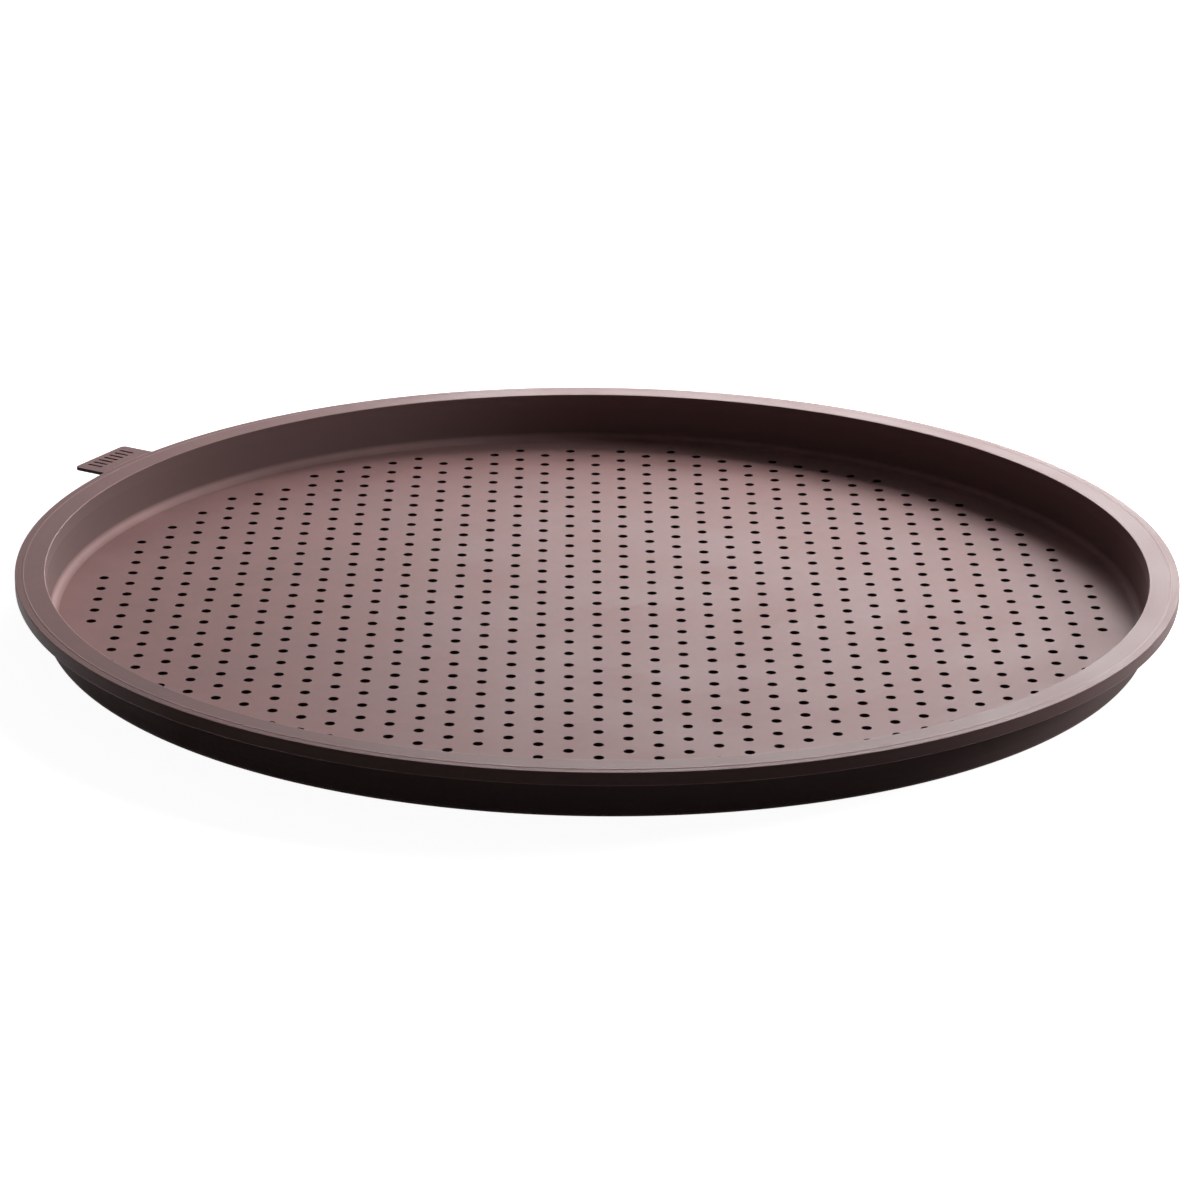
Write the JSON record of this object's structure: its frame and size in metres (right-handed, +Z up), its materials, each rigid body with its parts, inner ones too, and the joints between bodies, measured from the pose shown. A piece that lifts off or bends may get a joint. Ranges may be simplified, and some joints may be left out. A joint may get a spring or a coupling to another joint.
{
  "type": "perforated silicone baking mat",
  "caption": "Round shallow silicone baking mat with a perforated flat floor, a low rounded side wall, a flat creased rim and a thin pull tab, for baking flat dough on an oven rack.",
  "frame": {"origin": "centre of the underside that the mat lies on", "axes": "+Z up out of the pan, +Y away from the picture's camera, +X to its right"},
  "size_m": [0.36, 0.36, 0.0172],
  "materials": {
    "silicone_floor": "matte mauve-brown silicone, slightly velvety",
    "silicone_wall": "matte mauve-brown silicone with a smoother, slightly glossier wall",
    "silicone_rim": "satin mauve-brown silicone with fine moulding marks"
  },
  "bodies": {
    "root": {"floor_left": "silicone_floor", "floor_centre": "silicone_floor", "floor_right": "silicone_floor", "base_corner": "silicone_wall", "side_wall": "silicone_wall", "rim_flange": "silicone_rim", "rim_margin": "silicone_rim", "pull_tab": "silicone_rim"}
  },
  "joints": []
}
